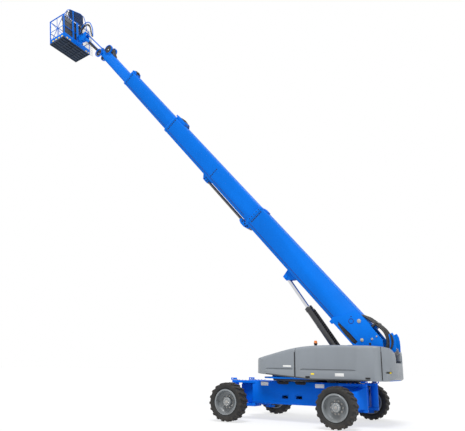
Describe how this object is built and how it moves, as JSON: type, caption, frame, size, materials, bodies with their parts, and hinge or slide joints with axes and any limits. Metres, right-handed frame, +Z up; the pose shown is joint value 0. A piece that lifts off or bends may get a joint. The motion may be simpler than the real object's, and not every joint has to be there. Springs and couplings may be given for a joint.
{
  "type": "telescopic boom lift",
  "caption": "Wheeled work platform on a telescoping boom with a short jib, a turntable with hinged hoods and swing-out steered axles.",
  "frame": {"origin": "on the ground, under the slewing axis", "axes": "+X forward, the way the boom points; +Y to the machine's left; +Z up"},
  "size_m": [16.7107, 4.073, 20.0053],
  "materials": {
    "blue_paint": "semi-gloss",
    "chassis_paint": "semi-gloss",
    "hood_plastic": "satin",
    "counterweight_iron": "painted, satin",
    "tyre": "matt",
    "rim_paint": "semi-gloss",
    "black_paint": "satin",
    "chrome": "polished",
    "bare_steel": "satin",
    "engine": "satin",
    "tank": "matt",
    "beacon": "clear",
    "floor_aluminium": "ribbed",
    "console_plastic": "matt"
  },
  "bodies": {
    "chassis": {"chassis_frame": "chassis_paint", "corner_mounts": "chassis_paint", "slew_ring": "bare_steel"},
    "axle_arm_front_left": {"axle_arm_front_left": "chassis_paint"},
    "knuckle_front_left": {"steering_knuckle_front_left": "chassis_paint"},
    "wheel_front_left": {"tyre_front_left": "tyre", "wheel_front_left": "rim_paint"},
    "axle_arm_front_right": {"axle_arm_front_right": "chassis_paint"},
    "knuckle_front_right": {"steering_knuckle_front_right": "chassis_paint"},
    "wheel_front_right": {"tyre_front_right": "tyre", "wheel_front_right": "rim_paint"},
    "axle_arm_rear_left": {"axle_arm_rear_left": "chassis_paint"},
    "knuckle_rear_left": {"steering_knuckle_rear_left": "chassis_paint"},
    "wheel_rear_left": {"tyre_rear_left": "tyre", "wheel_rear_left": "rim_paint"},
    "axle_arm_rear_right": {"axle_arm_rear_right": "chassis_paint"},
    "knuckle_rear_right": {"steering_knuckle_rear_right": "chassis_paint"},
    "wheel_rear_right": {"tyre_rear_right": "tyre", "wheel_rear_right": "rim_paint"},
    "turntable": {"turntable_frame": "black_paint", "counterweight": "counterweight_iron", "left_hood_nose": "hood_plastic", "right_hood_nose": "hood_plastic", "engine_block": "engine", "tank_block": "tank"},
    "left_door": {"left_hood_door": "hood_plastic", "beacon": "beacon"},
    "right_door": {"right_hood_door": "hood_plastic"},
    "boom_base": {"boom_base": "blue_paint"},
    "boom_mid": {"boom_mid": "blue_paint", "boom_guide_rods": "chrome"},
    "boom_fly": {"boom_fly": "blue_paint"},
    "boom_tip": {"boom_tip": "blue_paint"},
    "lift_barrel": {"lift_cylinder_barrel": "black_paint"},
    "lift_rod": {"lift_cylinder_rod": "chrome"},
    "level_bracket": {"level_bracket": "blue_paint"},
    "jib_arm": {"jib_arm": "blue_paint"},
    "jib_link": {"jib_link": "blue_paint"},
    "jib_head": {"jib_head": "blue_paint"},
    "platform": {"platform_rails": "blue_paint", "platform_mount": "blue_paint", "platform_floor": "floor_aluminium", "control_console": "console_plastic"},
    "gate": {"platform_gate": "blue_paint"}
  },
  "joints": [
    {"name": "swing_front_left", "type": "hinge", "parent": "chassis", "child": "axle_arm_front_left", "pos_m": [2.15, 0.61, 0.6], "axis": [0, 0, -1], "range_deg": [0, 50]},
    {"name": "steer_front_left", "type": "hinge", "parent": "axle_arm_front_left", "child": "knuckle_front_left", "pos_m": [1.75, 1.389, 0.5775], "axis": [0, 0, 1], "range_deg": [-40, 40]},
    {"name": "roll_front_left", "type": "hinge", "parent": "knuckle_front_left", "child": "wheel_front_left", "pos_m": [1.73, 1.814, 0.5775], "axis": [0, 1, 0], "continuous": true},
    {"name": "swing_front_right", "type": "hinge", "parent": "chassis", "child": "axle_arm_front_right", "pos_m": [2.15, -0.61, 0.6], "axis": [0, 0, 1], "range_deg": [0, 50]},
    {"name": "steer_front_right", "type": "hinge", "parent": "axle_arm_front_right", "child": "knuckle_front_right", "pos_m": [1.75, -1.389, 0.5775], "axis": [0, 0, 1], "range_deg": [-40, 40]},
    {"name": "roll_front_right", "type": "hinge", "parent": "knuckle_front_right", "child": "wheel_front_right", "pos_m": [1.73, -1.814, 0.5775], "axis": [0, 1, 0], "continuous": true},
    {"name": "swing_rear_left", "type": "hinge", "parent": "chassis", "child": "axle_arm_rear_left", "pos_m": [-2.15, 0.61, 0.6], "axis": [0, 0, 1], "range_deg": [0, 50]},
    {"name": "steer_rear_left", "type": "hinge", "parent": "axle_arm_rear_left", "child": "knuckle_rear_left", "pos_m": [-1.75, 1.389, 0.5775], "axis": [0, 0, 1], "range_deg": [-40, 40]},
    {"name": "roll_rear_left", "type": "hinge", "parent": "knuckle_rear_left", "child": "wheel_rear_left", "pos_m": [-1.73, 1.814, 0.5775], "axis": [0, 1, 0], "continuous": true},
    {"name": "swing_rear_right", "type": "hinge", "parent": "chassis", "child": "axle_arm_rear_right", "pos_m": [-2.15, -0.61, 0.6], "axis": [0, 0, -1], "range_deg": [0, 50]},
    {"name": "steer_rear_right", "type": "hinge", "parent": "axle_arm_rear_right", "child": "knuckle_rear_right", "pos_m": [-1.75, -1.389, 0.5775], "axis": [0, 0, 1], "range_deg": [-40, 40]},
    {"name": "roll_rear_right", "type": "hinge", "parent": "knuckle_rear_right", "child": "wheel_rear_right", "pos_m": [-1.73, -1.814, 0.5775], "axis": [0, 1, 0], "continuous": true},
    {"name": "slew", "type": "hinge", "parent": "chassis", "child": "turntable", "pos_m": [0, 0, 1.287], "axis": [0, 0, 1], "continuous": true},
    {"name": "left_door_lift", "type": "hinge", "parent": "turntable", "child": "left_door", "pos_m": [-1.5, 0.418, 2.314], "axis": [1, 0, 0], "range_deg": [0, 70]},
    {"name": "right_door_lift", "type": "hinge", "parent": "turntable", "child": "right_door", "pos_m": [-1.5, -0.418, 2.314], "axis": [-1, 0, 0], "range_deg": [0, 70]},
    {"name": "boom_luff", "type": "hinge", "parent": "turntable", "child": "boom_base", "pos_m": [-2.4, 0, 2], "axis": [0, -1, 0], "range_deg": [-48.6, 21.4]},
    {"name": "mid_extend", "type": "slide", "parent": "boom_base", "child": "boom_mid", "axis": [0.6613, 0, 0.7501], "range_m": [-2.2, 0]},
    {"name": "fly_extend", "type": "slide", "parent": "boom_mid", "child": "boom_fly", "axis": [0.6613, 0, 0.7501], "range_m": [-3.6, 1.4]},
    {"name": "tip_extend", "type": "slide", "parent": "boom_fly", "child": "boom_tip", "axis": [0.6613, 0, 0.7501], "range_m": [-1.764, 0.686]},
    {"name": "lift_barrel_swing", "type": "hinge", "parent": "turntable", "child": "lift_barrel", "pos_m": [-1.761, 0, 1.4], "axis": [0, -1, 0], "range_deg": [-49.68, 21.88]},
    {"name": "lift_rod_stroke", "type": "slide", "parent": "lift_barrel", "child": "lift_rod", "axis": [0.5721, 0, 0.8202], "range_m": [-0.6825, 0.3008]},
    {"name": "platform_level", "type": "hinge", "parent": "boom_tip", "child": "level_bracket", "pos_m": [10.24774, 0, 16.51238], "axis": [0, -1, 0], "range_deg": [-21.4, 48.6]},
    {"name": "jib_lift", "type": "hinge", "parent": "level_bracket", "child": "jib_arm", "pos_m": [10.40241, 0, 16.52573], "axis": [0, -1, 0], "range_deg": [-106.5, 28.5]},
    {"name": "jib_link_swing", "type": "hinge", "parent": "level_bracket", "child": "jib_link", "pos_m": [10.36586, 0, 16.80333], "axis": [0, -1, 0], "range_deg": [-106.5, 28.5]},
    {"name": "jib_head_level", "type": "hinge", "parent": "jib_arm", "child": "jib_head", "pos_m": [11.73093, 0, 17.9257], "axis": [0, -1, 0], "range_deg": [-28.5, 106.5]},
    {"name": "platform_turn", "type": "hinge", "parent": "jib_head", "child": "platform", "pos_m": [12.05592, 0, 17.8684], "axis": [0.1736, 0, 0.9848], "range_deg": [-80, 80]},
    {"name": "gate_swing", "type": "hinge", "parent": "platform", "child": "gate", "pos_m": [13.31495, 0.896, 17.79871], "axis": [0.1736, 0, 0.9848], "range_deg": [0, 90]}
  ],
  "couplings": [
    {"joint": "tip_extend", "follows": "fly_extend", "ratio": 0.49},
    {"joint": "lift_barrel_swing", "follows": "boom_luff", "ratio": 1.022},
    {"joint": "lift_rod_stroke", "follows": "boom_luff", "m_per_rad": 0.804},
    {"joint": "platform_level", "follows": "boom_luff", "ratio": -1},
    {"joint": "jib_link_swing", "follows": "jib_lift", "ratio": 1},
    {"joint": "jib_head_level", "follows": "jib_lift", "ratio": -1}
  ]
}
